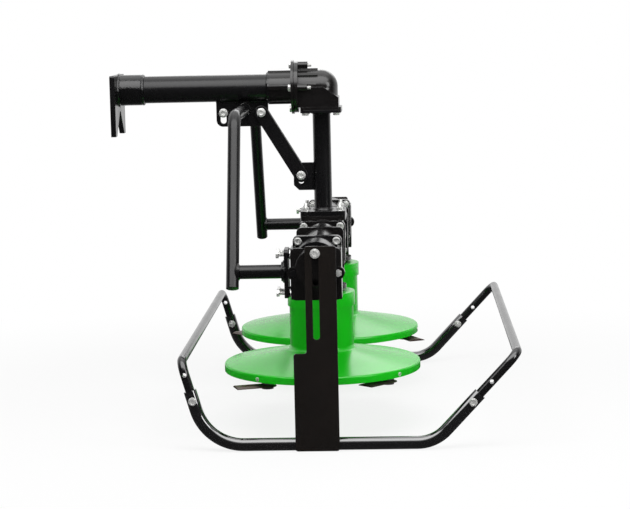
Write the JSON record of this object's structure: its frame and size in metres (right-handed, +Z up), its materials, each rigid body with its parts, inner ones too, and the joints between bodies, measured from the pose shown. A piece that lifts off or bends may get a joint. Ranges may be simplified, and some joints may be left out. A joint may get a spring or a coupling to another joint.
{
  "type": "rotary mower",
  "caption": "Drum rotary mower for a two-wheel tractor: a coupling tube and column drive a pair of knife dishes under a beam, on skids with tubular guard hoops.",
  "frame": {"origin": "on the ground, in the middle of the machine's length and width", "axes": "+X forward, away from the tractor; +Y to the left across the cut; +Z up"},
  "size_m": [0.834, 0.973, 0.739],
  "materials": {
    "black_paint": "gloss",
    "black_casting": "satin",
    "green_paint": "gloss",
    "machined_steel": "machined",
    "knife_steel": "blackened"
  },
  "bodies": {
    "frame": {"coupling_hook_plate": "black_paint", "coupling_socket": "black_paint", "drive_tube": "black_paint", "drive_flange": "black_casting", "upper_gear_case": "black_casting", "column": "black_paint", "column_lug": "black_paint", "brace_bracket": "black_paint", "brace_tube": "black_paint", "centre_gear_case": "black_casting", "guard_hoop_front": "black_paint", "guard_hoop_rear": "black_paint", "brace_bar_right": "black_paint", "brace_bar_left": "black_paint", "disc_gear_case_right": "black_casting", "disc_gear_case_left": "black_casting", "outrigger_right": "black_paint", "outrigger_left": "black_paint", "end_bracket_right": "black_casting", "end_bracket_left": "black_casting", "brace_foot_right": "black_paint", "brace_foot_left": "black_paint", "brace_stub_right": "black_paint", "brace_stub_left": "black_paint", "side_plate_right": "black_paint", "side_plate_left": "black_paint", "skid_right": "black_paint", "skid_left": "black_paint"},
    "input_shaft": {"input_shaft": "machined_steel"},
    "rotor_right": {"rotor_dish_right": "green_paint", "rotor_carrier_right": "green_paint", "rotor_shaft_right": "machined_steel", "knife_pins_right": "machined_steel"},
    "knife_right_1": {"knife_right_1": "knife_steel"},
    "knife_right_2": {"knife_right_2": "knife_steel"},
    "knife_right_3": {"knife_right_3": "knife_steel"},
    "knife_right_4": {"knife_right_4": "knife_steel"},
    "rotor_left": {"rotor_dish_left": "green_paint", "rotor_carrier_left": "green_paint", "rotor_shaft_left": "machined_steel", "knife_pins_left": "machined_steel"},
    "knife_left_1": {"knife_left_1": "knife_steel"},
    "knife_left_2": {"knife_left_2": "knife_steel"},
    "knife_left_3": {"knife_left_3": "knife_steel"},
    "knife_left_4": {"knife_left_4": "knife_steel"}
  },
  "joints": [
    {"name": "rotor_right_spin", "type": "hinge", "parent": "frame", "child": "rotor_right", "pos_m": [0.024, -0.225, 0.357], "axis": [0, 0, 1], "continuous": true},
    {"name": "rotor_left_spin", "type": "hinge", "parent": "frame", "child": "rotor_left", "pos_m": [0.024, 0.225, 0.357], "axis": [0, 0, 1], "continuous": true},
    {"name": "input_spin", "type": "hinge", "parent": "frame", "child": "input_shaft", "pos_m": [-0.276, 0, 0.682], "axis": [1, 0, 0], "continuous": true},
    {"name": "knife_right_1_swing", "type": "hinge", "parent": "rotor_right", "child": "knife_right_1", "pos_m": [0.12866, -0.09104, 0.1059], "axis": [0, 0, 1], "continuous": true},
    {"name": "knife_right_2_swing", "type": "hinge", "parent": "rotor_right", "child": "knife_right_2", "pos_m": [-0.10996, -0.12034, 0.1059], "axis": [0, 0, 1], "continuous": true},
    {"name": "knife_right_3_swing", "type": "hinge", "parent": "rotor_right", "child": "knife_right_3", "pos_m": [-0.08066, -0.35896, 0.1059], "axis": [0, 0, 1], "continuous": true},
    {"name": "knife_right_4_swing", "type": "hinge", "parent": "rotor_right", "child": "knife_right_4", "pos_m": [0.15796, -0.32966, 0.1059], "axis": [0, 0, 1], "continuous": true},
    {"name": "knife_left_1_swing", "type": "hinge", "parent": "rotor_left", "child": "knife_left_1", "pos_m": [0.19273, 0.20428, 0.1059], "axis": [0, 0, 1], "continuous": true},
    {"name": "knife_left_2_swing", "type": "hinge", "parent": "rotor_left", "child": "knife_left_2", "pos_m": [0.04472, 0.39373, 0.1059], "axis": [0, 0, 1], "continuous": true},
    {"name": "knife_left_3_swing", "type": "hinge", "parent": "rotor_left", "child": "knife_left_3", "pos_m": [-0.14473, 0.24572, 0.1059], "axis": [0, 0, 1], "continuous": true},
    {"name": "knife_left_4_swing", "type": "hinge", "parent": "rotor_left", "child": "knife_left_4", "pos_m": [0.00328, 0.05627, 0.1059], "axis": [0, 0, 1], "continuous": true}
  ],
  "couplings": [
    {"joint": "rotor_left_spin", "follows": "rotor_right_spin", "ratio": -1},
    {"joint": "input_spin", "follows": "rotor_right_spin", "ratio": 0.7}
  ]
}
